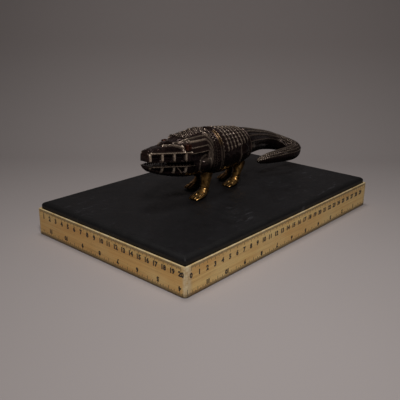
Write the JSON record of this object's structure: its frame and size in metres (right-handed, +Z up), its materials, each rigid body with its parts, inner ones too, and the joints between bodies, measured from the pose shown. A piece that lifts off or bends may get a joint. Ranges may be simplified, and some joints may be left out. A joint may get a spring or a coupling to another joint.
{
  "type": "ink blotter",
  "caption": "Desk ink blotter: a slate slab edged with wooden rulers, a bronze crocodile as its handle, and a paper-covered press block underneath.",
  "frame": {"origin": "centre of the base on the plane it rests on", "axes": "+X along the long side, from the crocodile's head to its tail; -Y towards the front long ruler; +Z up"},
  "size_m": [0.31, 0.2036, 0.104],
  "materials": {
    "slate": "satin near-black slate, lightly scuffed",
    "ruler_wood": "varnished hardwood with worn, paler edges and printed scales",
    "softwood": "sawn, unfinished",
    "plywood": "sanded, unfinished",
    "blotting_paper": "soft, fibrous and matt",
    "dark_bronze": "dark brown-black patina, rubbed brighter on the ridges",
    "copper": "tarnished copper",
    "leg_brass": "rubbed golden brass, dark in the hollows",
    "steel": "plain zinc-plated steel"
  },
  "bodies": {
    "press_pad": {"press_block": "plywood", "blotting_paper": "blotting_paper"},
    "handle_and_frame": {"slate_top": "slate", "ruler_front": "ruler_wood", "ruler_back": "ruler_wood", "ruler_left": "ruler_wood", "ruler_right": "ruler_wood", "batten_front": "softwood", "batten_back": "softwood", "batten_left": "softwood", "batten_right": "softwood", "corner_stop_front_left": "softwood", "corner_stop_front_right": "softwood", "corner_stop_back_left": "softwood", "corner_stop_back_right": "softwood", "crocodile_head": "dark_bronze", "crocodile_lower_jaw": "dark_bronze", "crocodile_trunk": "dark_bronze", "crocodile_tail": "dark_bronze", "eye_left": "copper", "eye_right": "copper", "leg_front_left": "leg_brass", "leg_front_right": "leg_brass", "leg_rear_left": "leg_brass", "leg_rear_right": "leg_brass", "leg_stud_front_left": "steel", "leg_stud_front_right": "steel", "leg_stud_rear_left": "steel", "leg_stud_rear_right": "steel", "leg_washer_front_left": "steel", "leg_washer_front_right": "steel", "leg_washer_rear_left": "steel", "leg_washer_rear_right": "steel", "leg_nut_front_left": "steel", "leg_nut_front_right": "steel", "leg_nut_rear_left": "steel", "leg_nut_rear_right": "steel"}
  },
  "joints": [
    {"name": "frame_lift", "type": "slide", "parent": "press_pad", "child": "handle_and_frame", "axis": [0, 0, 1], "range_m": [0, 0.03]}
  ]
}
